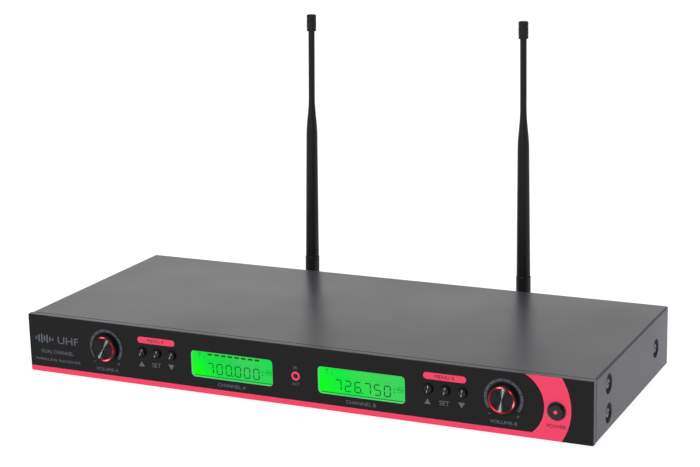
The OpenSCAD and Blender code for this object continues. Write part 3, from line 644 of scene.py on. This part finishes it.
def window_rim(name, at, y_front, y_back):
    """The clear window's bevelled edge: a thin frame that catches the display's light."""
    rings = [(0.0, y_back), (0.0, y_front), (0.18 * MM, y_front), (0.42 * MM, y_back)]
    loops = [[(at.x + x, y, at.z + z) for x, z in round_rect(LCD_W - 2 * d, LCD_H - 2 * d, LCD_R - d)]
             for d, y in rings]
    n = len(loops[0])
    verts = [v for loop in loops for v in loop]
    faces = []
    for a in range(len(rings)):
        b = (a + 1) % len(rings)
        for i in range(n):
            j = (i + 1) % n
            faces.append((a * n + i, a * n + j, b * n + j, b * n + i))
    return add_mesh(name, verts, faces, rim_clear)


for k in "ab":
    at = Vector((lcds[k].x, 0, z_of(21.6)))
    window_rim(f"window_rim_{k}", at, FACE_Y + 0.25 * MM, LCD_Y)

# ---------------------------------------------------------------- rear legends

def rear_words(name, words, x, z, width_mm):
    text_mesh(name, words, (x, REAR_Y, z), 2.6 * MM, white_print, side=REAR, width=width_mm * MM)


for name, words, node, above_mm, width_mm in (("ant_a_word", "ANT A", "bnc_jack_a", 12.6, 9.0),
                                              ("ant_b_word", "ANT B", "bnc_jack_b", 12.6, 9.0),
                                              ("mix_word", "MIX OUT", "mix_jack", 12.2, 13.0),
                                              ("dc_word", "DC 12V", "dc_inlet", 12.2, 11.0)):
    c = centre(node)
    rear_words(name, words, c.x, c.z + above_mm * MM, width_mm)

# each output socket's flange is 26 mm wide, and its word stands on the side towards the middle
xlr_lo, xlr_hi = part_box("xlr_outputs")
XLR_HALF = 13 * MM
XLR_Z = centre("xlr_outputs").z
outputs = {"a": xlr_lo[0] + XLR_HALF, "b": xlr_hi[0] - XLR_HALF}
for k, x in outputs.items():
    inward = -23 * MM if x > 0 else 23 * MM
    rear_words(f"out_{k}_word", f"OUT {k.upper()}", x + inward, XLR_Z, 11.0)


# bright metal skins on the contact pins of the output sockets and the power inlet

def pin_skin(name, x, z, y0, y1, r, n=24):
    rings = [(r, y0), (r, y1 - 0.45 * r), (0.86 * r, y1 - 0.14 * r), (0.55 * r, y1)]
    verts = [(x + q * math.cos(2 * math.pi * i / n), y, z + q * math.sin(2 * math.pi * i / n))
             for q, y in rings for i in range(n)]
    faces = [tuple(range(n)), tuple(range(4 * n - 1, 3 * n - 1, -1))]
    for a in range(3):
        for i in range(n):
            j = (i + 1) % n
            faces.append((a * n + j, a * n + i, (a + 1) * n + i, (a + 1) * n + j))
    return add_mesh(name, verts, faces, nickel)


OUT_PIN_CIRCLE, OUT_PIN_R = 4.1 * MM, 1.25 * MM
PIN_END = xlr_hi[1] - 3 * MM     # where the sockets' pins end, a little inside the flange
SKIN = 0.05 * MM
for k, x in outputs.items():
    for i, turn in enumerate((90, 210, 330)):
        a = math.radians(turn)
        pin_skin(f"out_{k}_pin_{i}", x + OUT_PIN_CIRCLE * math.cos(a), XLR_Z - OUT_PIN_CIRCLE * math.sin(a),
                 PIN_END - 12.9 * MM, PIN_END + SKIN, OUT_PIN_R)
inlet = centre("dc_inlet")
inlet_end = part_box("dc_inlet")[1][1] - 1.0 * MM
pin_skin("inlet_pin", inlet.x, inlet.z, inlet_end - 8.3 * MM, inlet_end + SKIN, 1.1 * MM)

# ---------------------------------------------------------------- stage, light and camera

def stage_plane(name, size, z, m):
    me = bpy.data.meshes.new(name)
    s = size / 2
    me.from_pydata([(-s, -s, z), (s, -s, z), (s, s, z), (-s, s, z)], [], [(0, 1, 2, 3)])
    obj = bpy.data.objects.new(name, me)
    bpy.context.scene.collection.objects.link(obj)
    me.materials.append(m)
    return obj


floor_mat = surface("stage_floor", (0.15, 0.15, 0.15, 1.0), vary=0.01, rough=(0.6, 0.7), grain=60.0,
                    blotch=2.0, bump=0.02, depth=0.1 * MM, specular=0.1,
                    Emission_Color=(1.0, 1.0, 1.0, 1.0), Emission_Strength=0.95)
stage_plane("studio_floor", 40.0, cad_lo.z - 0.0002, floor_mat)

# a white backdrop low down behind the object, dimmer overhead and on the camera's side
world = bpy.data.worlds.new("studio")
bpy.context.scene.world = world
world.use_nodes = True
wt = world.node_tree
bg = wt.nodes["Background"]
direction = wt.nodes.new("ShaderNodeSeparateXYZ")
wt.links.new(wt.nodes.new("ShaderNodeTexCoord").outputs["Generated"], direction.inputs[0])
behind = spread(wt, direction.outputs["Y"], 0.0, 1.0, -0.3, 0.3)
low = spread(wt, direction.outputs["Z"], 1.0, 0.0, 0.28, 0.5)
left_part = spread(wt, direction.outputs["X"], 1.07, 0.25, 0.02, 0.3)
lit = math_node(wt, "MULTIPLY", math_node(wt, "MULTIPLY", behind, low), left_part)
bg.inputs["Color"].default_value = (1.0, 1.0, 1.0, 1.0)
wt.links.new(spread(wt, lit, 0.08, 1.62, 0.0, 1.0), bg.inputs["Strength"])


def area_light(name, direction, distance, size, power_w, target=Vector((0, 0, 0.03)), size_y=None):
    li = bpy.data.lights.new(name, "AREA")
    li.energy = power_w
    li.size = size
    if size_y:
        li.shape = "RECTANGLE"
        li.size_y = size_y
    obj = bpy.data.objects.new(name, li)
    d = Vector(direction).normalized()
    obj.location = target + d * distance
    obj.rotation_mode = "QUATERNION"
    obj.rotation_quaternion = (-d).to_track_quat("-Z", "Y")
    bpy.context.scene.collection.objects.link(obj)
    return obj


FRONT_LAMP = (-0.11, -0.85, 0.515)    # towards the front lamps: before the object and above it
area_light("key_front", FRONT_LAMP, 2.4, 0.3, 32.0)
area_light("top_soft", (0.1, 0.2, 1.0), 2.4, 3.0, 26.0)
far = area_light("far_floor", (-0.1, 0.4, 1.0), 3.0, 3.0, 110.0, target=Vector((-1.1, 2.9, 0.0)))
far.visible_glossy = False
cool = area_light("side_cool", (1.0, -0.02, 0.03), 1.5, 0.3, 9.0)
cool.data.color = (0.3, 0.3, 1.0)
cool.visible_glossy = False

# small hard lamps that reach the turned metal alone, for the gleam across the knob and button faces
cap_nodes = [f"knob_{k}_cap" for k in "ab"]
button_nodes = [f"menu_{k}_{b}" for k in "ab" for b in ("up", "set", "down")]
for name, power_w, nodes in (("knob_caps", 205.0, cap_nodes), ("button_faces", 170.0, button_nodes)):
    glint = area_light(f"glint_{name}", FRONT_LAMP, 2.4, 0.14, power_w)
    reached = bpy.data.collections.new(name)
    for node in nodes:
        reached.objects.link(frame["nodes"][node])
    glint.light_linking.receiver_collection = reached

# the camera stands where the photograph was taken from: its place from the front's lower middle,
# its turn to the left, its tilt down and its roll
CAM_AT = Vector((0.5310, FACE_Y - 1.0215, BASE_Z + 0.4114))
CAM_YAW, CAM_DOWN, CAM_ROLL = (math.radians(a) for a in (-25.28977, 14.07829, 1.42163))
CAM_LENS = 89.277
fwd = Vector((math.sin(CAM_YAW) * math.cos(CAM_DOWN), math.cos(CAM_YAW) * math.cos(CAM_DOWN),
              -math.sin(CAM_DOWN)))
right = Vector((math.cos(CAM_YAW), -math.sin(CAM_YAW), 0.0))
down = fwd.cross(right)
cam_x = math.cos(CAM_ROLL) * right + math.sin(CAM_ROLL) * down
cam_down = -math.sin(CAM_ROLL) * right + math.cos(CAM_ROLL) * down
cam_data = bpy.data.cameras.new("camera")
cam_data.sensor_width = 36.0
cam_data.lens = CAM_LENS
cam_data.clip_start = 0.05
cam_data.clip_end = 100.0
cam = bpy.data.objects.new("camera", cam_data)
cam.matrix_world = Matrix.Translation(CAM_AT) @ Matrix((cam_x, -cam_down, -fwd)).transposed().to_4x4()
bpy.context.scene.collection.objects.link(cam)
bpy.context.scene.camera = cam
bpy.context.scene.view_settings.view_transform = "Standard"
